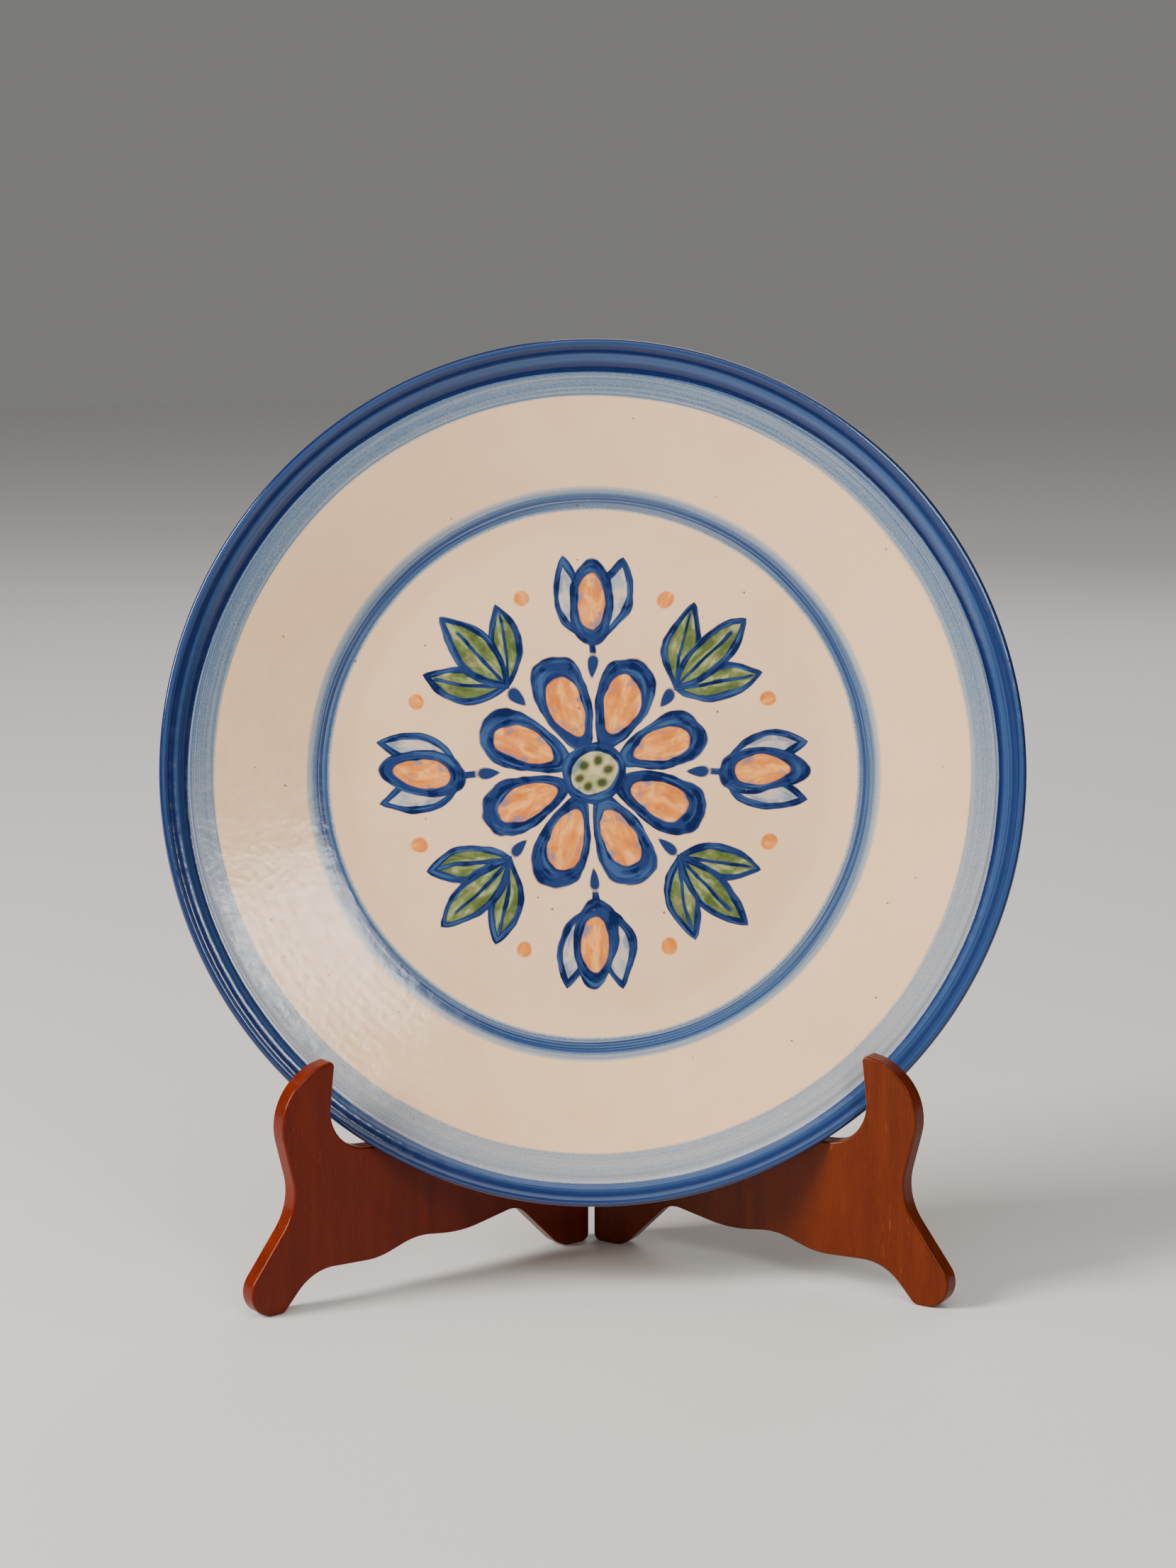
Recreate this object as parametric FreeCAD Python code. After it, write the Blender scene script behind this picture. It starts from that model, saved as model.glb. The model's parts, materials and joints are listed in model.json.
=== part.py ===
"""A glazed stoneware dinner plate, shown on its folding wooden plate stand.

The stand is two flat boards, mirror images of each other, hinged along their upright back edges
with two small brass butt hinges. Opened like a book, each board carries the plate's rim in a notch
behind its front horn, and the plate's foot ring leans back on the two tall posts beside the hinges.

Millimetres. +Z is up, the plate faces -Y, X runs across the plate. The stand rests on Z = 0, and the
origin is under the middle of the whole object's box.
"""

import FreeCAD, Part

import math
import os

V = FreeCAD.Vector

# Plate
plate_diameter = 280.0
plate_lean = 11.0
wall = 5.0
lip_height = 21.2
flange_angle = 15.0
well_blend = 40.0
groove_width = 2.6
groove_depth = 0.55
roll_width = 4.3
roll_rise = 1.0
lip_groove_width = 0.8
lip_groove_depth = 0.28
lip_width = 2.5
lip_rise = 1.5
lip_overhang = 2.6
lip_seat = 1.25
foot_ring_diameter = 168.0
foot_ring_width = 4.6
foot_ring_height = 2.4
foot_chamfer = 0.8
foot_fillet = 1.6

# Boards of the stand, and how far they are opened for the plate
half_opening = 55.0
board = 6.5
arris = 0.9
fold_gap = 0.3
rim_clearance = 0.3
post_clearance = 0.3

# Where the plate's rim rests in the notch, and the horn in front of it
seat_reach = 90.5
seat_height = 49.9
notch_reach = 105.2
notch_radius = 14.0
web_height = 47.2
web_sweep = 22.0
horn_height = 79.6
horn_rake = 3.6
horn_tip_radius = 1.8
crown_reach = 109.0
crown_drop = 1.6
crown_radius = 12.0
shoulder_reach = 124.2
shoulder_height = 68.0
shoulder_radius = 19.0
waist_reach = 115.8
waist_height = 34.3
waist_radius = 20.0

# Front foot
foot_reach = 133.8
foot_radius = 8.0
foot_flat = 3.9
heel_radius = 3.0
toe_angle = 127.3

# Under edge, from the front foot back: each wave's corner, as reach, height and radius
instep_reach, instep_height, instep_radius = 111.0, 12.0, 17.0
dip_reach, dip_height, dip_radius = 86.0, 10.8, 26.0
wave_reach, wave_height, wave_radius = 71.0, 15.6, 24.0
belly_reach, belly_height, belly_radius = 53.5, 13.2, 45.0
arch_reach, arch_height, arch_radius = 30.3, 17.8, 8.0

# Back foot and the tall post above it
back_foot_length = 12.5
back_foot_radius = 9.0
back_heel_radius = 2.6
post_height = 139.0
post_top_width = 12.5
post_top_radius = 8.5
post_back_radius = 4.0

# Brass butt hinges
leaf_height = 25.0
leaf_width = 6.2
leaf_thickness = 1.0
knuckles = 5
knuckle_gap = 0.2
barrel_radius = 1.75
barrel_clearance = 0.3
pin_radius = 0.8
pin_clearance = 0.05
pin_head_radius = 1.3
pin_head = 0.7
axis_setback = 0.6
lower_hinge = 32.0
upper_hinge = 104.0

# Countersunk wood screws
screw_length = 9.0
screw_point = 1.4
screw_tip_radius = 0.15
screw_radius = 0.8
screw_head_radius = 1.55
screw_head = 0.75
screw_slot = 0.4
screw_pitch = 14.0
screw_clearance = 0.05

HINGES = {"lower": lower_hinge, "upper": upper_hinge}
SIDES = {"right": 1, "left": -1}
EPS = 1.0  # cuts run this far past a face


def rounded_wire(corners, at):
    """A closed wire of straight runs with every corner rounded. corners holds (across, up, radius), and
    at(across, up) places a point in space. A radius is limited by the length of the runs beside it."""
    count = len(corners)
    points = [V(across, up, 0) for across, up, _ in corners]
    runs = [(points[(i + 1) % count] - points[i]).Length for i in range(count)]
    halves, reaches = [], []
    for i, here in enumerate(points):
        before, after = points[i - 1] - here, points[(i + 1) % count] - here
        halves.append(before.getAngle(after) / 2)
        reaches.append(corners[i][2] / math.tan(halves[i]))
    fits = [min(1.0, 0.999 * runs[i] / (reaches[i] + reaches[(i + 1) % count])) for i in range(count)]
    starts, mids, ends = [], [], []
    for i, here in enumerate(points):
        before = (points[i - 1] - here).normalize()
        after = (points[(i + 1) % count] - here).normalize()
        reach = reaches[i] * min(fits[i - 1], fits[i])
        radius = reach * math.tan(halves[i])
        centre = here + (before + after).normalize() * (radius / math.sin(halves[i]))
        starts.append(here + before * reach)
        mids.append(centre + (here - centre).normalize() * radius)
        ends.append(here + after * reach)
    edges = []
    for i in range(count):
        following = starts[(i + 1) % count]
        edges.append(Part.Arc(at(starts[i]), at(mids[i]), at(ends[i])).toShape())
        if (following - ends[i]).Length > 1e-6:
            edges.append(Part.LineSegment(at(ends[i]), at(following)).toShape())
    return Part.Wire(edges)


def rim_seat():
    """Where the plate's widest circle rests: how far the board's inner edge is from the middle plane and
    in front of the hinge axis, and the drop from the plate's centre down to it."""
    opening = math.radians(half_opening)
    across = seat_reach * math.sin(opening) + fold_gap * math.cos(opening)
    forward = seat_reach * math.cos(opening) - fold_gap * math.sin(opening)
    drop = math.sqrt((plate_diameter / 2) ** 2 - across**2)
    return across, forward, drop


def plate_centre():
    """The middle of the plate's widest circle, as distance in front of the hinge axis and height."""
    lean = math.radians(plate_lean)
    across, forward, drop = rim_seat()
    return forward - drop * math.sin(lean), seat_height + rim_clearance + drop * math.cos(lean)


def post_contact():
    """Where the foot ring leans on a post's front edge: distance along the board, and height."""
    opening, lean = math.radians(half_opening), math.radians(plate_lean)
    forward, height = plate_centre()
    reach = 0.0
    for _ in range(12):
        across = reach * math.sin(opening) + fold_gap * math.cos(opening)
        drop = math.sqrt((foot_ring_diameter / 2 - foot_chamfer) ** 2 - across**2)
        behind = forward + drop * math.sin(lean) - lip_height * math.cos(lean)
        reach = (behind - post_clearance + fold_gap * math.sin(opening)) / math.cos(opening)
    return reach, height - drop * math.cos(lean) - lip_height * math.sin(lean)


def board_outline():
    """The board's corners as (distance from the hinge axis, height, radius), round from the back foot."""
    contact_reach, contact_height = post_contact()
    post_top = axis_setback + post_top_width
    slope = (contact_reach - post_top) / (post_height - contact_height)
    post_foot = contact_reach + (contact_height - web_height) * slope
    ankle = foot_reach - foot_radius
    toe_corner = ankle + foot_radius * math.tan(math.radians(toe_angle) / 2)
    return [
        (axis_setback, 0.0, back_heel_radius),
        (back_foot_length, 0.0, back_foot_radius),
        (arch_reach, arch_height, arch_radius),
        (belly_reach, belly_height, belly_radius),
        (wave_reach, wave_height, wave_radius),
        (dip_reach, dip_height, dip_radius),
        (instep_reach, instep_height, instep_radius),
        (ankle - foot_flat, 0.0, heel_radius),
        (toe_corner, 0.0, foot_radius),
        (waist_reach, waist_height, waist_radius),
        (shoulder_reach, shoulder_height, shoulder_radius),
        (crown_reach, horn_height - crown_drop, crown_radius),
        (notch_reach - horn_rake, horn_height, horn_tip_radius),
        (notch_reach, seat_height, notch_radius),
        (post_foot, web_height, web_sweep),
        (post_top, post_height, post_top_radius),
        (axis_setback, post_height, post_back_radius),
    ]


def hinge_span(centre):
    return centre - leaf_height / 2, centre + leaf_height / 2


def knuckle_spans(centre, side):
    """The heights of one leaf's knuckles: the right leaf has the outer ones."""
    low = hinge_span(centre)[0]
    pitch = leaf_height / knuckles
    first = 0 if side > 0 else 1
    return [(low + i * pitch, low + (i + 1) * pitch) for i in range(first, knuckles, 2)]


def upright(radius, low, high):
    """A cylinder on the hinge axis."""
    return Part.makeCylinder(radius, high - low, V(0, 0, low), V(0, 0, 1))


def slab(side, across, along, up):
    """A block on one side of the middle plane, from three (low, high) pairs."""
    width = across[1] - across[0]
    left = across[0] if side > 0 else -across[1]
    return Part.makeBox(width, along[1] - along[0], up[1] - up[0], V(left, -along[1], up[0]))


def screw_places(centre):
    return [centre - screw_pitch / 2, centre + screw_pitch / 2]


def screw_axis(side):
    return side * (fold_gap + board / 2)


def screw_solid(side, height, grow, length):
    """One countersunk screw, driven forwards into the board's back edge; grow makes its hole."""
    start = V(screw_axis(side), -axis_setback, height)
    into = V(0, -1, 0)
    head = Part.makeCone(screw_head_radius + grow, screw_radius + grow, screw_head, start, into)
    straight = length - screw_point
    shank = Part.makeCylinder(screw_radius + grow, straight, start, into)
    tip = Part.makeCone(screw_radius + grow, screw_tip_radius + grow, screw_point, start + into * straight, into)
    return head.fuse(shank).fuse(tip).removeSplitter()


def screws(side, centre):
    made = []
    for height in screw_places(centre):
        screw = screw_solid(side, height, 0.0, screw_length)
        slot = slab(
            side,
            (abs(screw_axis(side)) - screw_head_radius - EPS, abs(screw_axis(side)) + screw_head_radius + EPS),
            (axis_setback - EPS, axis_setback + screw_slot),
            (height - screw_slot / 2, height + screw_slot / 2),
        )
        made.append(screw.cut(slot))
    return made


def board_solid(side):
    """One wooden board, closed against the middle plane, with its arrises rounded and the hinges let in."""
    inner = side * fold_gap
    wire = rounded_wire(board_outline(), lambda p: V(inner, -p.x, p.y))
    body = Part.Face(wire).extrude(V(side * board, 0, 0))
    rim_edges = []
    for edge in body.Edges:
        box = edge.BoundBox
        if box.XLength < 1e-4:
            rim_edges.append(edge)
    body = body.makeFillet(arris, rim_edges)
    for centre in HINGES.values():
        low, high = hinge_span(centre)
        floor = (axis_setback - EPS, axis_setback + leaf_thickness)
        body = body.cut(slab(side, (0.0, leaf_width + screw_clearance), floor, (low, high)))
        relief = pin_head + 2 * knuckle_gap
        body = body.cut(upright(barrel_radius + barrel_clearance, low - relief, high + relief))
        for height in screw_places(centre):
            body = body.cut(screw_solid(side, height, screw_clearance, screw_length + screw_clearance))
    return body


def leaf(side, centre):
    """One hinge leaf: a flat plate let into the board's back edge, with its own knuckles rolled on."""
    low, high = hinge_span(centre)
    flat = slab(side, (0.0, leaf_width), (axis_setback, axis_setback + leaf_thickness), (low, high))
    flat = flat.cut(upright(barrel_radius + barrel_clearance, low - EPS, high + EPS))
    for bottom, top in knuckle_spans(centre, side):
        bottom += knuckle_gap / 2
        top -= knuckle_gap / 2
        bridge = slab(side, (0.0, leaf_width / 2), (axis_setback, axis_setback + leaf_thickness), (bottom, top))
        flat = flat.fuse(bridge).fuse(upright(barrel_radius, bottom, top))
    flat = flat.cut(upright(pin_radius + pin_clearance, low - EPS, high + EPS))
    for height in screw_places(centre):
        flat = flat.cut(screw_solid(side, height, screw_clearance, screw_length))
    return flat.removeSplitter()


def hinge_pin(centre):
    """The pin through all five knuckles, with a peened head at each end."""
    low, high = hinge_span(centre)
    pin = upright(pin_radius, low - knuckle_gap, high + knuckle_gap)
    for bottom, top in ((low - knuckle_gap - pin_head, low - knuckle_gap), (high + knuckle_gap, high + knuckle_gap + pin_head)):
        head = upright(pin_head_radius, bottom, top)
        outer = bottom if bottom < low else top
        crown = [e for e in head.Edges if abs(e.BoundBox.ZMin - outer) < 1e-6 and e.BoundBox.ZLength < 1e-6]
        pin = pin.fuse(head.makeFillet(pin_head * 0.6, crown))
    return pin.removeSplitter()


def plate_profile():
    """The plate's half section as a face in the XZ plane, lying flat with its foot ring on Z = 0."""
    angle = math.radians(flange_angle)
    rise = math.tan(angle)
    under_drop = wall / math.cos(angle)
    edge = plate_diameter / 2
    lip_in = edge - lip_width
    roll_out = lip_in - lip_groove_width
    roll_in = roll_out - roll_width
    band = roll_in - groove_width
    foot_out = foot_ring_diameter / 2
    foot_in = foot_out - foot_ring_width
    floor = foot_ring_height + wall
    band_height = lip_height - lip_seat

    def top(r, proud=0.0):
        return V(r, 0, band_height + (r - band) * rise + proud)

    def under(r, below=0.0):
        return V(r, 0, top(r).z - under_drop - below)

    def at(r, h):
        return V(r, 0, h)

    def middle(a, b):
        return (a + b) / 2

    well = band - (band_height - floor) / rise
    blend = well_blend * math.tan(angle / 2)
    blend_in = at(well - blend, floor)
    blend_middle = at(blend_in.x + well_blend * math.sin(angle / 2), floor + well_blend * (1 - math.cos(angle / 2)))
    blend_out = top(well + blend * math.cos(angle))
    lip_top = at(edge - lip_width / 2, lip_height + lip_rise)
    lip_out = at(edge, lip_height)
    lip_under = under(edge - lip_overhang)
    fillet_top = under(foot_out + foot_fillet)
    bend = foot_fillet * (1 - math.sqrt(0.5))
    wall_top = at(foot_out, fillet_top.z - foot_fillet)
    foot_base_out = at(foot_out - foot_chamfer, 0)
    foot_base_in = at(foot_in + foot_chamfer, 0)
    foot_inner = at(foot_in, foot_ring_height)

    def line(a, b):
        return Part.LineSegment(a, b).toShape()

    def arc(a, b, c):
        return Part.Arc(a, b, c).toShape()

    edges = [
        line(at(0, floor), blend_in),
        arc(blend_in, blend_middle, blend_out),
        line(blend_out, top(band)),
        arc(top(band), top(middle(band, roll_in), -groove_depth), top(roll_in)),
        arc(top(roll_in), top(middle(roll_in, roll_out), roll_rise), top(roll_out)),
        arc(top(roll_out), top(middle(roll_out, lip_in), -lip_groove_depth), top(lip_in)),
        arc(top(lip_in), at(middle(lip_in, lip_top.x), lip_height + lip_rise * 0.88), lip_top),
        arc(lip_top, at(middle(lip_top.x, edge) + lip_width * 0.14, lip_height + lip_rise * 0.62), lip_out),
        arc(lip_out, at(edge - lip_overhang * 0.29, middle(lip_height, lip_under.z)), lip_under),
        line(lip_under, fillet_top),
        arc(fillet_top, at(foot_out + bend, fillet_top.z - bend), wall_top),
        line(wall_top, foot_base_out),
        line(foot_base_out, foot_base_in),
        line(foot_base_in, foot_inner),
        line(foot_inner, at(0, foot_ring_height)),
        line(at(0, foot_ring_height), at(0, floor)),
    ]
    return Part.Face(Part.Wire(edges))


def plate_solid():
    """The plate, turned to stand in the notches and lean back on the posts."""
    solid = plate_profile().revolve(V(0, 0, 0), V(0, 0, 1), 360)
    if solid.ShapeType != "Solid":
        solid = solid.Solids[0]
    forward, height = plate_centre()
    solid.translate(V(0, 0, -lip_height))
    solid.rotate(V(0, 0, 0), V(1, 0, 0), 90 - plate_lean)
    solid.translate(V(0, -forward, height))
    return solid


def opened(shape, side):
    """Turns a piece of one half from folded shut to its place with the plate on."""
    shape.rotate(V(0, 0, 0), V(0, 0, 1), side * half_opening)
    return shape


def all_pieces():
    pieces = {"plate": plate_solid()}
    for name, side in SIDES.items():
        pieces[f"{name}_panel"] = opened(board_solid(side), side)
        for place, centre in HINGES.items():
            pieces[f"{place}_hinge_{name}_leaf"] = opened(leaf(side, centre), side)
            group = [opened(screw, side) for screw in screws(side, centre)]
            pieces[f"{place}_hinge_{name}_screws"] = Part.makeCompound(group)
    for place, centre in HINGES.items():
        pieces[f"{place}_hinge_pin"] = hinge_pin(centre)
    return pieces


def main():
    os.makedirs("parts", exist_ok=True)
    pieces = all_pieces()
    whole = Part.makeCompound(list(pieces.values())).optimalBoundingBox(False, False)
    to_middle = V(0, -(whole.YMin + whole.YMax) / 2, 0)
    for name, shape in pieces.items():
        shape.translate(to_middle)
        shape.exportStep(os.path.join("parts", name + ".step"))
    print("hinge axis at y =", round(to_middle.y, 5), "box", whole)
    print("plate centre", [round(x, 4) for x in plate_centre()], "post contact", [round(x, 3) for x in post_contact()])


main()
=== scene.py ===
import json
import math

import bmesh
import bpy
from mathutils import Matrix, Vector


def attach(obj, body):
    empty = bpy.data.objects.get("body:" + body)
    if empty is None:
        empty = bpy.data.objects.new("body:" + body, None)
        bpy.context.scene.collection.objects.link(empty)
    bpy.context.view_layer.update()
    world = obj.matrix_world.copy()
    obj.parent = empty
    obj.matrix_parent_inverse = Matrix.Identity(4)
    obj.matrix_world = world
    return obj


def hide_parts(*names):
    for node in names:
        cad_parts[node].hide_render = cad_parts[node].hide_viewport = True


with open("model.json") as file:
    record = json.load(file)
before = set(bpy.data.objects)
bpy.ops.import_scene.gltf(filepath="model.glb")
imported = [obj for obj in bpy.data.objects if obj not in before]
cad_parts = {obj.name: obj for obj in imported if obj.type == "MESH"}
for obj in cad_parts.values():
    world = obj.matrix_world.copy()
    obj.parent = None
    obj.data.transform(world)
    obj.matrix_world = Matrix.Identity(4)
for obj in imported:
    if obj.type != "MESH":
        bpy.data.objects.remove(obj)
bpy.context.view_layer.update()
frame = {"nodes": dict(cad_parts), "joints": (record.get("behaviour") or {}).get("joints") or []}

# The plate is one piece of thrown stoneware with a wide sloping flange. A groove and a low roll are turned
# into its edge and a foot ring into its underside. It is spun here from half of its section, and it leans
# in the notches of the stand and against its two posts.
mm = 0.001
plate_radius = 140.0
plate_lean = math.radians(11.0)
lip_height = 21.2
lip_rise = 1.5
well_floor = 7.4
foot_recess = 2.4
foot_shoulder = 85.9
band_start = plate_radius - 10.2
band_drop = 1.25
flange_rise = math.tan(math.radians(15.0))
turned_steps = 80
stand_fold = next(joint for joint in frame["joints"] if joint["name"] == "stand_fold")
hinge_y = stand_fold["pos_m"][1]
plate_from_hinge = 0.0290227
plate_height = 0.1666738
plate_middle = Vector((0.0, hinge_y - plate_from_hinge, plate_height))
plate_turn = (math.pi / 2 - plate_lean, 0.0, 0.0)


def flange(radius):
    """Height of the flange's face above the table the plate was thrown on."""
    return lip_height - band_drop + (radius - band_start) * flange_rise


def on_flange(radius, rise=0.0):
    """A point of the section that stands so far above the flange's face."""
    return radius, flange(radius) + rise


def on_lip(radius, rise):
    """A point of the section that stands so far above the lip's own height."""
    return radius, lip_height + rise


def mesh_from(shape, name):
    """Turns a finished bmesh into a mesh."""
    mesh = bpy.data.meshes.new(name)
    shape.to_mesh(mesh)
    shape.free()
    return mesh


def put_in_scene(name, data):
    """Sets a mesh, a lamp or a camera in the scene."""
    thing = bpy.data.objects.new(name, data)
    bpy.context.scene.collection.objects.link(thing)
    return thing


face = [
    (0.0, well_floor), (30.0, well_floor), (60.0, well_floor), (74.0, well_floor), (79.0, well_floor + 0.12),
    (83.0, well_floor + 0.75), on_flange(87.0, 0.1), on_flange(91.0), on_flange(105.0), on_flange(120.0),
]
groove = [on_flange(128.6), on_flange(129.9, -0.04), on_flange(130.6, -0.33), on_flange(131.4, -0.42)]
roll = [
    on_flange(132.3, -0.24), on_flange(133.3, 0.08), on_flange(134.3, 0.32), on_flange(135.2, 0.36),
    on_flange(136.0, 0.26),
]
lip = [
    on_lip(136.6, 0.8), on_lip(137.1, 1.03), on_lip(137.6, 1.29), on_lip(138.1, lip_rise),
    on_lip(138.7, 1.46), on_lip(139.2, 1.36), on_lip(139.5, 1.16), on_lip(139.8, 0.72),
    on_lip(plate_radius, 0.1), on_lip(139.75, -1.5), on_lip(138.6, -2.9), on_lip(136.9, -4.1),
]
shoulder_height = flange(foot_shoulder)
underside = [on_flange(132.0, -5.2), on_flange(110.0, -5.18), on_flange(90.0, -5.18)]
foot_ring = [
    on_flange(foot_shoulder, -5.22), (84.6, shoulder_height - 5.85), (84.05, shoulder_height - 7.0),
    (83.7, 1.3), (83.25, 0.15), (82.6, 0.0), (80.8, 0.0), (80.1, 0.15), (79.3, 1.5), (78.6, 2.35),
]
base = [(76.0, foot_recess), (50.0, foot_recess), (0.0, foot_recess)]
half_section = face + groove + roll + lip + underside + foot_ring + base

thrown = bmesh.new()
corners = [thrown.verts.new((radius * mm, 0.0, (rise - lip_height) * mm)) for radius, rise in half_section]
profile = [thrown.edges.new(pair) for pair in zip(corners, corners[1:])]
bmesh.ops.spin(
    thrown, geom=corners + profile, cent=(0, 0, 0), axis=(0, 0, 1), angle=math.tau, steps=turned_steps,
    use_merge=True,
)
bmesh.ops.remove_doubles(thrown, verts=thrown.verts, dist=1e-6)
bmesh.ops.recalc_face_normals(thrown, faces=thrown.faces)
leaning = Matrix.Translation(plate_middle) @ Matrix.Rotation(math.pi / 2 - plate_lean, 4, "X")
bmesh.ops.transform(thrown, matrix=leaning, verts=thrown.verts)
plate_mesh = mesh_from(thrown, "thrown_plate")
plate_mesh.shade_smooth()
plate = put_in_scene("thrown_plate", plate_mesh)
soften = plate.modifiers.new("turned curves", "SUBSURF")
soften.levels = soften.render_levels = 2
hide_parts("plate")
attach(plate, "plate")

# The plate's glaze is cream all over. Cobalt bands are laid on the wheel, and a flower is painted in the
# well with a full brush of cobalt, iron orange and sage green. All of it lies under one clear glossy glaze.


def linear(red, green, blue):
    """A paint colour given as 0 to 255 screen values, as the shader wants it."""
    shades = (red, green, blue)
    return tuple(((c / 255 + 0.055) / 1.055) ** 2.4 if c > 10 else c / 3294.6 for c in shades) + (1.0,)


def bare_material(name):
    """A new material with no nodes yet; returns it with its node tree."""
    material = bpy.data.materials.new(name)
    material.use_nodes = True
    material.node_tree.nodes.clear()
    return material, material.node_tree


def put(tree, kind, sockets=None, **settings):
    """Adds one shader node; each of its sockets takes a value or another node's output."""
    node = tree.nodes.new(kind)
    for name, value in settings.items():
        setattr(node, name, value)
    for name, value in (sockets or {}).items():
        if isinstance(value, bpy.types.NodeSocket):
            tree.links.new(value, node.inputs[name])
        else:
            node.inputs[name].default_value = value
    return node


def use(tree, group, sockets):
    """Places a shared effect in a material."""
    return put(tree, "ShaderNodeGroup", sockets, node_tree=group).outputs


def calc(tree, operation, *values):
    """One sum on numbers."""
    return put(tree, "ShaderNodeMath", dict(enumerate(values)), operation=operation).outputs[0]


def plus(tree, first, second):
    """The two numbers added."""
    return calc(tree, "ADD", first, second)


def less(tree, first, second):
    """The first number less the second."""
    return calc(tree, "SUBTRACT", first, second)


def times(tree, *values):
    """Numbers or masks multiplied together, one after another."""
    result = values[0]
    for value in values[1:]:
        result = calc(tree, "MULTIPLY", result, value)
    return result


def point(tree, x, y, z=0.0):
    """A place made of its three distances."""
    return put(tree, "ShaderNodeCombineXYZ", {0: x, 1: y, 2: z}).outputs[0]


def axes(tree, place):
    """The three distances that a place is made of."""
    return put(tree, "ShaderNodeSeparateXYZ", {0: place}).outputs


def length(tree, place):
    """How far a place is from the middle."""
    return put(tree, "ShaderNodeVectorMath", {0: place}, operation="LENGTH").outputs["Value"]


def moved(tree, place, by):
    """A place shifted by another."""
    return put(tree, "ShaderNodeVectorMath", {0: place, 1: by}, operation="ADD").outputs[0]


def scaled(tree, place, factor):
    """A place brought nearer to the middle or further from it."""
    return put(tree, "ShaderNodeVectorMath", {0: place, "Scale": factor}, operation="SCALE").outputs[0]


def object_place(tree):
    """Where a point of the piece is, in metres."""
    return put(tree, "ShaderNodeTexCoord").outputs["Object"]


def own_place_in_mm(tree, middle, turn):
    """Where a point is in mm, from a middle of the piece's own and along its own directions."""
    sockets = {"Vector": object_place(tree), "Location": middle, "Rotation": turn}
    own = put(tree, "ShaderNodeMapping", sockets, vector_type="TEXTURE").outputs[0]
    return scaled(tree, own, 1.0 / mm)


def fade(tree, value, start, end, low=0.0, high=1.0):
    """A soft edge: low until start, high after end."""
    sockets = {0: value, 1: start, 2: end, 3: low, 4: high}
    return put(tree, "ShaderNodeMapRange", sockets, interpolation_type="SMOOTHSTEP").outputs[0]


def noise(tree, place, scale, detail=3.0, roughness=0.55):
    """Cloudy lumps from 0 to 1; a higher scale makes them smaller."""
    sockets = {"Vector": place, "Scale": scale, "Detail": detail, "Roughness": roughness}
    return put(tree, "ShaderNodeTexNoise", sockets).outputs["Fac"]


def over(tree, below, colour, mask):
    """A coat of colour laid over what is below it, where the mask says."""
    return put(tree, "ShaderNodeMix", {0: mask, 6: below, 7: colour}, data_type="RGBA").outputs[2]


def finish(tree, height, strength, sockets):
    """Ends a material: its small relief as bump, under one principled shader."""
    relief = put(tree, "ShaderNodeBump", {"Height": height, "Strength": strength, "Distance": 1.0})
    skin = put(tree, "ShaderNodeBsdfPrincipled", {"Normal": relief.outputs[0], **sockets})
    put(tree, "ShaderNodeOutputMaterial", {0: skin.outputs[0]})


def effect(name, takes, gives):
    """An empty shared effect with named inputs and outputs; returns it with its two ends."""
    group = bpy.data.node_groups.new(name, "ShaderNodeTree")
    for labels, in_out in ((takes, "INPUT"), (gives, "OUTPUT")):
        for label in labels:
            kind = "NodeSocketVector" if label == "Vector" else "NodeSocketFloat"
            group.interface.new_socket(label, in_out=in_out, socket_type=kind)
    return group, group.nodes.new("NodeGroupInput").outputs, group.nodes.new("NodeGroupOutput").inputs


# A hand's unsteadiness: it pushes a pattern about by up to Amount, in lumps of size Size.
unsteady, given, made = effect("unsteady_hand", ["Vector", "Amount", "Size"], ["Vector"])
lump_scale = calc(unsteady, "DIVIDE", 1.0, given["Size"])
lumps = put(unsteady, "ShaderNodeTexNoise", {"Vector": given["Vector"], "Detail": 2.0, "Scale": lump_scale})
push = moved(unsteady, lumps.outputs["Color"], (-0.5, -0.5, -0.5))
pushed = moved(unsteady, given["Vector"], scaled(unsteady, push, given["Amount"]))
unsteady.links.new(pushed, made["Vector"])

# Repeats a motif round the plate's middle: it folds the whole turn into one slice about the X axis.
round_the_plate, given, made = effect("round_the_plate", ["Vector", "Count", "Turn"], ["Along", "Across"])
place = axes(round_the_plate, given["Vector"])
angle = less(round_the_plate, calc(round_the_plate, "ARCTAN2", place["Y"], place["X"]), given["Turn"])
slice_angle = calc(round_the_plate, "DIVIDE", math.tau, given["Count"])
half_slice = times(round_the_plate, slice_angle, 0.5)
wrapped = calc(round_the_plate, "FLOORED_MODULO", plus(round_the_plate, angle, half_slice), slice_angle)
bearing = less(round_the_plate, wrapped, half_slice)
reach = length(round_the_plate, point(round_the_plate, place["X"], place["Y"]))
along = times(round_the_plate, reach, calc(round_the_plate, "COSINE", bearing))
across = times(round_the_plate, reach, calc(round_the_plate, "SINE", bearing))
round_the_plate.links.new(along, made["Along"])
round_the_plate.links.new(across, made["Across"])


def brushed(tree, given):
    """Streaks of a wet brush drawn along a shape; Seed makes each one different."""
    lengthwise = times(tree, given["Along"], 0.08)
    crosswise = times(tree, given["Across"], 0.36)
    return noise(tree, point(tree, lengthwise, crosswise, times(tree, given["Seed"], 5.0)), 1.0, 2.0)


def along_shape(tree, given):
    """How far along a shape a point is: -1 at its base, 1 at its tip."""
    return calc(tree, "DIVIDE", less(tree, given["Along"], given["Middle"]), given["Half Length"])


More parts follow.
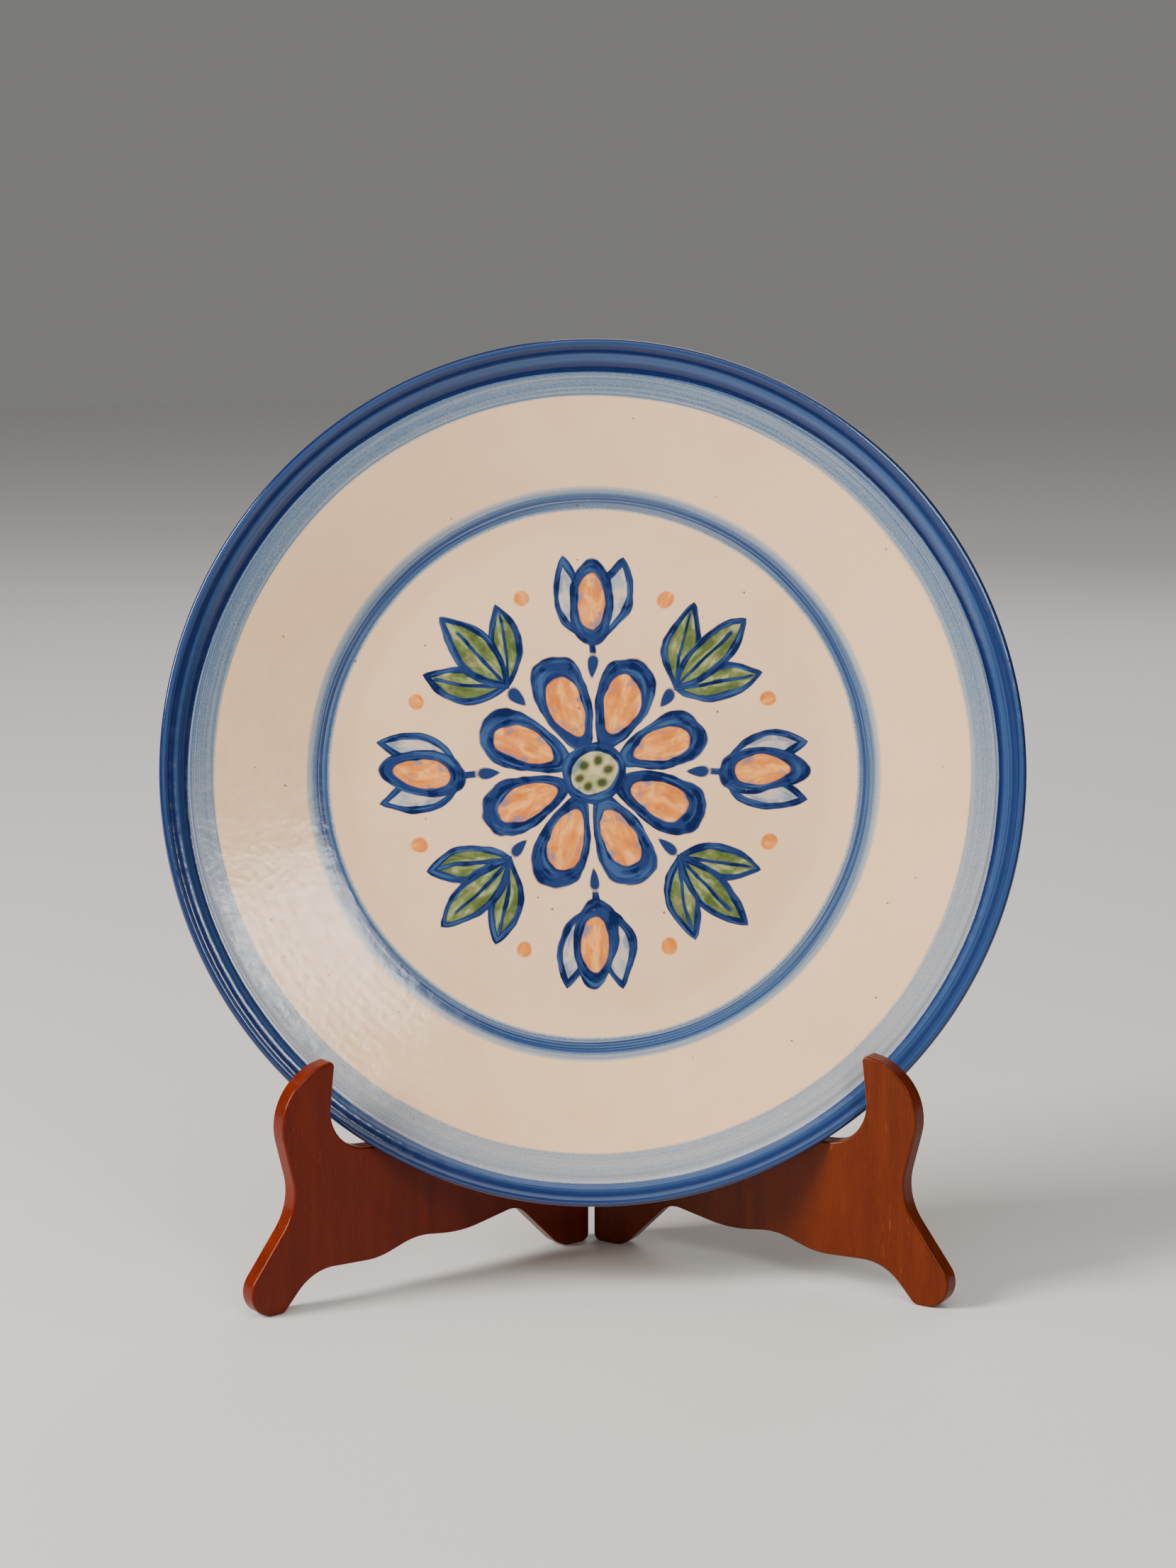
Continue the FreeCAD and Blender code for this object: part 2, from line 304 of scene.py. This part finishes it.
# A petal or drop: how far a point is outside its outline, less than nothing inside.
stroke_sizes = ["Along", "Across", "Middle", "Half Length", "Half Width"]
petal, given, made = effect("petal", stroke_sizes + ["Swell", "Seed"], ["Outside", "Stroke"])
run = along_shape(petal, given)
swell = calc(petal, "MAXIMUM", plus(petal, times(petal, run, given["Swell"]), 1.0), 0.15)
breadth = calc(petal, "DIVIDE", given["Across"], times(petal, given["Half Width"], swell))
away = less(petal, length(petal, point(petal, run, breadth)), 1.0)
petal.links.new(times(petal, away, given["Half Width"]), made["Outside"])
petal.links.new(brushed(petal, given), made["Stroke"])

# A leaf: pointed at both ends, and bowed to one side by Bow.
leaf, given, made = effect("leaf", stroke_sizes + ["Bow", "Seed"], ["Outside", "Rib", "Stroke"])
run = along_shape(leaf, given)
taper = less(leaf, 1.0, times(leaf, run, run))
from_rib = calc(leaf, "ABSOLUTE", less(leaf, given["Across"], times(leaf, taper, given["Bow"])))
half_here = calc(leaf, "MAXIMUM", times(leaf, taper, given["Half Width"]), 0.0)
beyond = calc(leaf, "MAXIMUM", less(leaf, calc(leaf, "ABSOLUTE", run), 1.0), 0.0)
past_end = times(leaf, beyond, given["Half Length"])
leaf.links.new(plus(leaf, less(leaf, from_rib, half_here), past_end), made["Outside"])
leaf.links.new(plus(leaf, from_rib, past_end), made["Rib"])
leaf.links.new(brushed(leaf, given), made["Stroke"])

glaze, tree = bare_material("painted_glaze")
spot = own_place_in_mm(tree, plate_middle, plate_turn)
parts = axes(tree, spot)
flat = point(tree, parts["X"], parts["Y"])
steady = length(tree, flat)
drift = times(tree, less(tree, noise(tree, flat, 0.012, 2.0), 0.5), 1.6)
grain = noise(tree, spot, 2.2, 3.0, 0.75)
dusty = times(tree, less(tree, grain, 0.5), 1.5)


def reach_from(x, y):
    """Distance from a brush circle's own middle, which is never quite the plate's, with the hand's drift."""
    return plus(tree, length(tree, moved(tree, flat, (-x, -y, 0.0))), drift)


edge_reach = reach_from(0.2, -1.5)
wash_reach = reach_from(0.0, -0.5)
ring_reach = reach_from(0.3, -0.3)

streak_turn = 0.75
around = put(tree, "ShaderNodeVectorMath", {0: flat}, operation="NORMALIZE").outputs[0]
heading = axes(tree, scaled(tree, around, streak_turn))


def streaks(spacing, measure=None, detail=3.0):
    """Brush lines that run round the plate, spacing apart in mm."""
    lines = calc(tree, "DIVIDE", measure or steady, spacing)
    return noise(tree, point(tree, heading["X"], heading["Y"], lines), 1.0, detail)


def band(start, end, soft_start, soft_end, measure=None):
    """A banded stripe between two radii, with its own softness at each side."""
    measure = measure or steady
    rising = fade(tree, measure, start - soft_start, start + soft_start)
    falling = fade(tree, measure, end - soft_end, end + soft_end, 1.0, 0.0)
    return times(tree, rising, falling)


def lay(below, colour, *masks):
    """Lays a coat of colour where all the masks allow it."""
    return over(tree, below, colour, times(tree, *masks))


cream = linear(244, 204, 163)
cream_warm = linear(241, 199, 156)
cobalt_deep = linear(17, 30, 73)
cobalt = linear(34, 53, 99)
cobalt_bright = linear(56, 84, 126)
cobalt_wash = linear(90, 116, 142)
pale_wash = linear(150, 161, 171)
iron_orange = linear(228, 136, 58)
iron_pale = linear(250, 172, 92)
iron_dark = linear(186, 96, 44)
sage_pale = linear(150, 160, 106)
sage = linear(98, 114, 62)
sage_dark = linear(52, 64, 32)
iron_tones = (iron_pale, iron_orange, iron_dark)
sage_tones = (sage_pale, sage, sage_dark)

clouds = noise(tree, flat, 0.03, 4.0)
coat = over(tree, cream, cream_warm, fade(tree, clouds, 0.35, 0.7))

# Face or back: the paint is on the face, and the edge colour wraps a little way over the lip.
slope_height = plus(tree, times(tree, less(tree, steady, band_start), flange_rise), -band_drop)
face_height = calc(tree, "MAXIMUM", slope_height, well_floor - lip_height)
above = less(tree, parts["Z"], face_height)
on_face = fade(tree, above, -3.2, -2.4)
edge_wrap = fade(tree, plus(tree, above, times(tree, noise(tree, flat, 0.12), 0.8)), -4.4, -3.6)

# The pale wash inside the edge: nearly even, grainy, with bluer brush lines that are fuller toward the
# plate's top and toward the outside.
wash_start = 122.4
wash_end = 134.0
fine = streaks(0.5, detail=4.0)
broad = streaks(1.9)
speckled = fade(tree, grain, 0.34, 0.6, 0.7, 1.0)
wash_edge = plus(tree, wash_reach, dusty)
# The bluer coats of the wash are made darker and fuller toward the top of the plate.
fuller_above = fade(tree, less(tree, heading["Y"], times(tree, heading["X"], 0.15)), -0.62, 0.42)
fuller_toward_top = plus(tree, times(tree, fuller_above, 0.72), 0.28)
even_coat = band(wash_start, wash_end, 0.45, 0.5, wash_edge)
coat = lay(coat, pale_wash, even_coat, fade(tree, broad, 0.25, 0.6, 0.88, 1.0), speckled, on_face)
second_coat = band(wash_start + 1.0, wash_end, 1.0, 0.5, wash_edge)
broad_gaps = fade(tree, broad, 0.34, 0.58, 0.6, 1.0)
coat = lay(coat, cobalt_wash, second_coat, broad_gaps, fuller_toward_top, speckled, on_face)
hair_lines = times(tree, band(wash_start + 0.6, wash_end, 0.8, 0.5, wash_edge), fade(tree, fine, 0.5, 0.62))
coat = lay(coat, cobalt_bright, hair_lines, fuller_toward_top, fade(tree, grain, 0.35, 0.55), on_face, 0.6)
inner_rim = band(wash_start + 0.1, wash_start + 1.4, 0.3, 0.5, wash_reach)
coat = lay(coat, cobalt_wash, inner_rim, fade(tree, fine, 0.42, 0.58), fuller_toward_top, on_face)
outer_part = band(127.8, wash_end, 1.8, 0.5, edge_reach)
coat = lay(coat, cobalt_bright, outer_part, fade(tree, fine, 0.38, 0.64), fuller_toward_top, 0.6, on_face)

# The edge: full cobalt, darker where it pooled in the groove, darker inside the lip toward the upper left
# and toward the lip's outer edge, and brushed thinner on the roll and on the crown of the lip.
lines = streaks(1.0)
thin = fade(tree, lines, 0.3, 0.56, 0.3, 1.0)
edge_colour = over(tree, cobalt, cobalt_bright, times(tree, fade(tree, fine, 0.46, 0.68), 0.6))
on_edge = fade(tree, plus(tree, edge_reach, times(tree, dusty, 0.25)), 130.75, 131.15)
coat = lay(coat, edge_colour, on_edge, edge_wrap)
coat = lay(coat, cobalt_bright, band(132.6, 134.9, 0.5, 0.5), thin, edge_wrap, 0.7)
coat = lay(coat, cobalt_bright, band(137.1, 138.6, 0.3, 0.3), thin, edge_wrap, 0.5)
fuller_left = less(tree, times(tree, heading["Y"], 0.5), times(tree, heading["X"], 0.87))
groove_pool = band(129.0, 132.1, 0.5, 0.6)
# Darker inside the lip toward the plate's upper left, and darker toward the lip's outer edge.
inner_lip_darker_upper_left = times(tree, band(135.1, 137.0, 0.5, 0.3), fade(tree, fuller_left, -0.5, 0.1, 0.25, 1.0))
lip_darkening = calc(tree, "MAXIMUM", inner_lip_darker_upper_left, fade(tree, steady, 138.6, 139.2))
pooled = calc(tree, "MAXIMUM", groove_pool, lip_darkening)
coat = lay(coat, cobalt_deep, pooled, on_edge, edge_wrap, 0.92)
coat = lay(coat, cobalt_deep, fade(tree, lines, 0.5, 0.64), on_edge, edge_wrap, 0.7)

# The ring round the well: a pale stroke with a full one over it, both drawn with a streaky brush.
ring_edge = plus(tree, ring_reach, times(tree, dusty, 0.8))
ring_fine = streaks(0.5, ring_reach)
ring_broad = streaks(1.1, ring_reach)
coat = lay(coat, pale_wash, band(86.0, 93.6, 0.25, 0.5, ring_edge), speckled, on_face, 0.94)
worn = fade(tree, ring_broad, 0.32, 0.56, 0.5, 1.0)
coat = lay(coat, cobalt_wash, band(86.5, 92.3, 0.25, 0.9, ring_edge), worn, speckled, on_face)
worn = fade(tree, ring_broad, 0.34, 0.56, 0.5, 1.0)
hair_gaps = fade(tree, ring_fine, 0.34, 0.56, 0.4, 1.0)
coat = lay(coat, cobalt_bright, band(87.0, 91.3, 0.3, 0.8, ring_reach), worn, hair_gaps, on_face)
hair_gaps = fade(tree, ring_fine, 0.44, 0.58, 0.25, 1.0)
coat = lay(coat, cobalt, band(87.6, 90.6, 0.3, 0.6, ring_reach), hair_gaps, on_face, 0.85)
hair_gaps = fade(tree, ring_fine, 0.5, 0.62)
coat = lay(coat, cobalt_wash, band(91.8, 93.2, 0.3, 0.3, ring_reach), hair_gaps, on_face, 0.5)
banded = coat

# The painter's hand for the flower: its slow sway, its small tremor, and how wet the brush was.
hand = use(tree, unsteady, {"Vector": flat, "Amount": 6.5, "Size": 34.0})["Vector"]
hand = use(tree, unsteady, {"Vector": hand, "Amount": 0.7, "Size": 9.0})["Vector"]
slow = axes(tree, scaled(tree, hand, 0.07))
wet = noise(tree, hand, 0.08, 2.0)
puddle = noise(tree, hand, 0.16, 3.0, 0.5)


def hairs(outside):
    """The streaks that a brush's hairs leave along a line or an edge."""
    return noise(tree, point(tree, times(tree, outside, 0.8), slow["X"], slow["Y"]), 1.0, 3.0)


def line(outside, half_width, soft=0.22):
    """A brushed line along an outline, heavier and lighter as the brush was pressed."""
    pressed = times(tree, less(tree, wet, 0.5), half_width * 1.6)
    away = less(tree, calc(tree, "ABSOLUTE", outside), pressed)
    return fade(tree, away, half_width - soft, half_width + soft, 1.0, 0.0)


def inside(outside, inset=0.0, soft=0.5):
    """A shape filled up to inset inside its outline."""
    return fade(tree, plus(tree, outside, inset), -soft, soft, 1.0, 0.0)


def wash(below, shape, tones, inset=0.0, soft=0.35):
    """Fills a shape with a wet brush drawn along it: paler where it ran thin, darker where it pooled."""
    pale, colour, dark = tones
    stroke = shape["Stroke"]
    tone = over(tree, colour, pale, fade(tree, stroke, 0.46, 0.66))
    tone = over(tree, tone, dark, times(tree, fade(tree, stroke, 0.47, 0.34), 0.45))
    tone = over(tree, tone, dark, times(tree, fade(tree, puddle, 0.52, 0.7), 0.4))
    return lay(below, tone, inside(shape["Outside"], inset, soft), fade(tree, puddle, 0.25, 0.5, 0.82, 1.0))


def cobalt_line(below, outside, half_width, *masks):
    """A full cobalt line: lighter and darker streaks along it, and darker pools where the brush paused."""
    streak = hairs(outside)
    tone = over(tree, cobalt, cobalt_bright, fade(tree, streak, 0.5, 0.66))
    paused = plus(tree, streak, times(tree, less(tree, puddle, 0.5), -1.1))
    tone = over(tree, tone, cobalt_deep, fade(tree, paused, 0.5, 0.34))
    side = fade(tree, calc(tree, "ABSOLUTE", outside), half_width - 0.5, half_width)
    tone = over(tree, tone, cobalt_deep, times(tree, side, 0.5))
    return lay(below, tone, line(outside, half_width), *masks)


def outlined(below, outside, half_width):
    """Draws a shape's outline, with a watery stroke here and there just inside it."""
    watery = line(plus(tree, outside, half_width + 0.7), 0.9, 0.6)
    below = lay(below, cobalt_wash, watery, fade(tree, puddle, 0.5, 0.64, 0.0, 0.7))
    return cobalt_line(below, outside, half_width)


def repeated(count, turn):
    """One slice of the plate, for a motif that is painted count times."""
    return use(tree, round_the_plate, {"Vector": hand, "Count": float(count), "Turn": turn})


def from_base(piece, base, lean):
    """Along and across a stroke that starts at base; one that leans out is on both sides of its slice."""
    along = less(tree, piece["Along"], base)
    if not lean:
        return along, piece["Across"]
    across = calc(tree, "ABSOLUTE", piece["Across"])
    out, aside = math.cos(lean), math.sin(lean)
    turned = plus(tree, times(tree, along, out), times(tree, across, aside))
    sideways = less(tree, times(tree, across, out), times(tree, along, aside))
    return turned, sideways


def grown(group, piece, base, half_length, half_width, lean=0.0, bend=0.0):
    """A petal (bend is its swell) or a leaf (bend is its bow) that grows from base."""
    along, across = from_base(piece, base, lean)
    sizes = {"Middle": half_length, "Half Length": half_length, "Half Width": half_width}
    sizes["Swell" if group == petal else "Bow"] = bend
    return use(tree, group, {"Along": along, "Across": across, "Seed": wet, **sizes})


# Four sprays of three sage leaves: two that lean aside, and a straight one over them.
spray = repeated(4, math.pi / 4)
side_leaf = {"half_length": 13.5, "half_width": 4.9, "lean": 0.62, "bend": 1.0}
straight_leaf = {"half_length": 15.5, "half_width": 5.3}
for sizes, rib_end in ((side_leaf, 58.0), (straight_leaf, 63.0)):
    blade = grown(leaf, spray, 39.0, **sizes)
    coat = wash(coat, blade, sage_tones, inset=-0.2, soft=1.0)
    before_tip = fade(tree, spray["Along"], rib_end, rib_end + 2.0, 1.0, 0.0)
    coat = cobalt_line(coat, blade["Rib"], 0.6, before_tip, fade(tree, spray["Along"], 38.0, 40.0))
    coat = cobalt_line(coat, blade["Outside"], 1.15)

# Eight orange beads, one between each spray and the tulip beside it.
bead = grown(petal, repeated(8, math.pi / 8), 59.0, half_length=2.7, half_width=2.6)
coat = wash(coat, bead, iron_tones)

# Four tulips on short stems, each with two pale guard petals behind one orange cup.
stalk = repeated(4, math.pi / 2)
coat = cobalt_line(coat, stalk["Across"], 1.15, band(38.0, 48.0, 0.8, 0.8, stalk["Along"]))
guard = grown(leaf, stalk, 43.0, half_length=13.8, half_width=5.0, lean=0.36, bend=1.8)
coat = lay(coat, pale_wash, inside(guard["Outside"], 0.6), fade(tree, guard["Stroke"], 0.35, 0.6, 0.5, 0.95))
coat = outlined(coat, guard["Outside"], 1.25)
cup = grown(petal, stalk, 44.0, half_length=11.8, half_width=6.0, bend=-0.1)
coat = lay(coat, cream, inside(cup["Outside"]))
coat = wash(coat, cup, iron_tones, inset=0.6)
coat = outlined(coat, cup["Outside"], 1.5)

# The flower: eight petals, cobalt drops between them, and an eye of sage with darker dabs.
bloom = grown(petal, repeated(8, math.pi / 8), 10.4, half_length=13.0, half_width=6.9, bend=0.32)
coat = lay(coat, cream, inside(bloom["Outside"]))
coat = wash(coat, bloom, iron_tones, inset=0.9)
coat = outlined(coat, bloom["Outside"], 1.65)
drop = grown(petal, repeated(8, 0.0), 30.6, half_length=3.6, half_width=1.7, bend=0.5)
coat = lay(coat, cobalt, inside(drop["Outside"], soft=0.3))
eye_radius = 8.8
eye = less(tree, length(tree, hand), eye_radius)
coat = lay(coat, cream, inside(eye))
coat = lay(coat, sage_pale, inside(eye, 1.0), fade(tree, puddle, 0.35, 0.6, 0.4, 0.9))
dab = grown(petal, repeated(6, 0.3), 2.8, half_length=1.8, half_width=1.6)
coat = lay(coat, sage_dark, inside(dab["Outside"], soft=0.9), 0.95)
coat = outlined(coat, eye, 1.5)
coat = over(tree, banded, coat, on_face)

# Iron specks that melted through the glaze, and the bare clay of the foot ring.
iron_brown = linear(98, 72, 56)
clay_pale = linear(176, 148, 120)
clay_dark = linear(142, 112, 86)
bare_below = 0.9
glazed_above = 1.3
grit = put(tree, "ShaderNodeTexVoronoi", {"Vector": spot, "Scale": 0.22}, feature="F1")
chance = put(tree, "ShaderNodeSeparateColor", {0: grit.outputs["Color"]}).outputs
speck_size = times(tree, fade(tree, chance["Red"], 0.84, 1.0), 0.1)
speck = calc(tree, "LESS_THAN", grit.outputs["Distance"], speck_size)
coat = over(tree, coat, iron_brown, times(tree, speck, 0.75))
low_down = fade(tree, parts["Z"], bare_below - lip_height, glazed_above - lip_height, 1.0, 0.0)
foot = times(tree, low_down, band(78.5, 85.0, 0.3, 0.3))
coat = over(tree, coat, over(tree, clay_pale, clay_dark, noise(tree, spot, 1.2, 5.0)), foot)

# The glaze's surface: a fine ripple, slow waves, faint turning lines and a dimple at each speck.
ripple = times(tree, noise(tree, spot, 0.5, 2.0, 0.4), 0.00006)
waves = times(tree, noise(tree, spot, 0.09, 2.0), 0.00025)
turning = times(tree, calc(tree, "SINE", times(tree, steady, 1.9)), 0.000006)
relief = plus(tree, plus(tree, ripple, waves), turning)
relief = less(tree, relief, times(tree, speck, 0.00004))
gloss = fade(tree, noise(tree, spot, 0.25, 4.0), 0.3, 0.75, 0.1, 0.2)
gloss = plus(tree, gloss, times(tree, foot, 0.5))
finish(tree, relief, 0.6, {"Base Color": coat, "Roughness": gloss, "IOR": 1.5})
plate_mesh.materials.append(glaze)

# The stand's two boards are sawn from thin hardwood, their arrises rounded over, stained red-brown and
# lacquered to a satin shine. The grain runs upright. Each keeps its solid's shape with smoother shading.
sharp_edge = math.radians(32)
half_opening = math.radians(55.0)
pore_brown = linear(54, 14, 2)
fleck_tan = linear(176, 84, 28)


def smooth_copy(node, body, material):
    """A piece with its solid's own shape, shaded smooth across its rounded edges."""
    shape = bmesh.new()
    shape.from_mesh(frame["nodes"][node].data)
    bmesh.ops.remove_doubles(shape, verts=shape.verts, dist=2e-6)
    for edge in shape.edges:
        edge.smooth = len(edge.link_faces) == 2 and edge.calc_face_angle(0.0) < sharp_edge
    for facet in shape.faces:
        facet.smooth = True
    mesh = mesh_from(shape, node + "_finished")
    mesh.materials.append(material)
    piece = put_in_scene(node + "_finished", mesh)
    even = piece.modifiers.new("even shading", "WEIGHTED_NORMAL")
    even.keep_sharp = True
    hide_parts(node)
    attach(piece, body)


def drawn_out(tree, place, along_z):
    """A pattern's coordinates, drawn out along the upright grain."""
    return put(tree, "ShaderNodeMapping", {"Vector": place, "Scale": (1.0, 1.0, along_z)}).outputs[0]


def stained_wood(name, turn, light, dark, shift):
    """One board's stained wood: pores and growth lines upright, with paler flecks; shift moves the grain."""
    made, wood = bare_material(name)
    own = own_place_in_mm(wood, (0.0, hinge_y, 0.0), (0.0, 0.0, turn))
    spot = moved(wood, own, (shift, shift * 1.7, shift * 0.6))
    bent = use(wood, unsteady, {"Vector": spot, "Amount": 6.0, "Size": 45.0})["Vector"]
    upright = drawn_out(wood, bent, 0.06)
    growth = noise(wood, upright, 0.22, 3.0)
    fibre = noise(wood, upright, 2.2, 5.0, 0.65)
    pore = noise(wood, drawn_out(wood, bent, 0.12), 3.4, 2.0)
    blotch = noise(wood, spot, 0.035, 3.0)
    shade = plus(wood, times(wood, growth, 0.55), times(wood, fibre, 0.45))
    colour = over(wood, dark, light, fade(wood, shade, 0.3, 0.68))
    colour = over(wood, colour, dark, fade(wood, blotch, 0.5, 0.8, 0.0, 0.45))
    colour = over(wood, colour, pore_brown, fade(wood, pore, 0.6, 0.76, 0.0, 0.32))
    short_grain = fade(wood, noise(wood, upright, 1.1, 2.0), 0.66, 0.74)
    here_and_there = fade(wood, noise(wood, spot, 0.5, 2.0), 0.5, 0.62)
    colour = over(wood, colour, fleck_tan, times(wood, short_grain, here_and_there, 0.34))
    lacquer = fade(wood, fibre, 0.3, 0.75, 0.26, 0.42)
    sunk = times(wood, fade(wood, pore, 0.6, 0.78), 0.00004)
    height = less(wood, times(wood, fibre, 0.00003), sunk)
    satin = {"Coat Weight": 0.12, "Coat Roughness": 0.14, "Specular IOR Level": 0.12}
    finish(wood, height, 0.5, {"Base Color": colour, "Roughness": lacquer, **satin})
    return made


# The two boards carry one stain, but each copy gets its own colour for how its board is lit. The right
# board's copy is darker, painted shade that offsets the window light falling full on its face. The left
# board's copy is redder.
right_wood_painted_darker = stained_wood("stained_wood_right_painted_darker", half_opening, linear(96, 34, 1), linear(78, 22, 0), 0.0)
left_wood = stained_wood("stained_wood_left", -half_opening, linear(105, 29, 0), linear(84, 16, 0), 61.0)
smooth_copy("right_panel", "right_half", right_wood_painted_darker)
smooth_copy("left_panel", "left_half", left_wood)

# The two butt hinges are pressed brass, let in flush to the back edges, with a peened pin and
# countersunk slotted screws. The brass is lacquered and a little dulled.


def brass(name, colour, dull, roughness):
    """Lacquered brass with fine upright scratches, rougher and browner where it has dulled."""
    made, metal = bare_material(name)
    spot = scaled(metal, object_place(metal), 1.0 / mm)
    tarnish = noise(metal, spot, 0.35, 5.0, 0.65)
    scratches = noise(metal, drawn_out(metal, spot, 0.08), 6.0, 3.0)
    shade = over(metal, colour, dull, fade(metal, tarnish, 0.42, 0.72))
    scuffed = fade(metal, scratches, 0.3, 0.7, roughness, roughness + 0.16)
    rough = plus(metal, scuffed, fade(metal, tarnish, 0.5, 0.8, 0.0, 0.18))
    height = times(metal, scratches, 0.00001)
    finish(metal, height, 0.5, {"Base Color": shade, "Metallic": 1.0, "Roughness": rough})
    return made


leaf_brass = brass("pressed_brass", linear(214, 176, 104), linear(150, 112, 62), 0.28)
pin_brass = brass("pin_brass", linear(196, 158, 92), linear(128, 96, 56), 0.24)
for hinge in ("lower_hinge", "upper_hinge"):
    for side in ("right", "left"):
        smooth_copy(f"{hinge}_{side}_leaf", f"{side}_half", leaf_brass)
        smooth_copy(f"{hinge}_{side}_screws", f"{side}_half", leaf_brass)
    smooth_copy(f"{hinge}_pin", "right_half", pin_brass)

# A plain pale floor, which is not part of the object. It is matt paper, a little lighter far off than under
# the stand, whose four feet rest on it. The lighter far paper is painted light, standing in for lamp light
# that falls off with distance.
floor_radius = 6.0
paper_near = linear(214, 212, 208)
paper_far_painted_lighter = linear(246, 245, 242)
sheet = bmesh.new()
bmesh.ops.create_circle(sheet, cap_ends=True, segments=96, radius=floor_radius)
floor_mesh = mesh_from(sheet, "floor")
floor = put_in_scene("floor", floor_mesh)
matt = bpy.data.materials.new("pale_floor")
matt.use_nodes = True
paper = matt.node_tree
paper_skin = paper.nodes["Principled BSDF"].inputs
# Painted light: the paper is lighter further from the stand, where the lamps' light has fallen off.
painted_light_far_off = fade(paper, length(paper, object_place(paper)), 0.8, 3.0)
paper.links.new(over(paper, paper_near, paper_far_painted_lighter, painted_light_far_off), paper_skin["Base Color"])
paper_skin["Roughness"].default_value = 0.9
floor_mesh.materials.append(matt)

# Soft daylight comes from a window on the left. A smaller soft light high on the right glows on the lower
# left of the flange, and a pale surround fills the shadows.
object_middle = (0.0, 0.0, 0.14)
window_tint = (1.0, 0.96, 0.91)
warm_tint = (1.0, 0.97, 0.94)
cool_tint = (0.95, 0.97, 1.0)
surround_strength = 0.26
surround_in_shine = 0.08


def soft_light(name, place, aim, size, watts, tint):
    """A soft rectangular light turned to what it lights, with places and sizes in metres."""
    lamp = bpy.data.lights.new(name, "AREA")
    lamp.shape = "RECTANGLE"
    lamp.size, lamp.size_y = size
    lamp.energy = watts
    lamp.color = tint
    holder = put_in_scene(name, lamp)
    holder.location = place
    holder.rotation_euler = (Vector(aim) - Vector(place)).to_track_quat("-Z", "Y").to_euler()


soft_light("window", (-1.8, -0.65, 1.2), object_middle, (0.75, 1.1), 90.0, window_tint)
soft_light("high_right", (0.60, -1.30, 0.84), (-0.05, 0.0, 0.14), (0.3, 0.45), 7.0, warm_tint)
soft_light("overhead", (0.1, -1.0, 2.2), object_middle, (2.2, 1.6), 20.0, warm_tint)
soft_light("behind", (0.5, 1.5, 1.3), (0.0, 0.0, 0.15), (1.2, 1.0), 10.0, cool_tint)
world = bpy.data.worlds.new("surround")
world.use_nodes = True
sky = world.node_tree
backdrop = sky.nodes["Background"].inputs
backdrop["Color"].default_value = linear(226, 225, 222)
ray = put(sky, "ShaderNodeLightPath").outputs
dimmed = times(sky, ray["Is Glossy Ray"], surround_strength - surround_in_shine)
sky.links.new(less(sky, surround_strength, dimmed), backdrop["Strength"])
bpy.context.scene.world = world

# The camera stands a metre in front of the plate, a little to the left of its middle and above it, where
# the photograph was taken from.
lens = bpy.data.cameras.new("camera")
lens.lens = 70.0
lens.sensor_width = 36.0
camera = put_in_scene("camera", lens)
camera_place = Vector((-0.04258, -0.96170, 0.33009))
camera_aim = Vector((-0.00341, -0.02009, 0.16698))
camera.location = camera_place
camera.rotation_euler = (camera_aim - camera_place).to_track_quat("-Z", "Y").to_euler()
bpy.context.scene.camera = camera
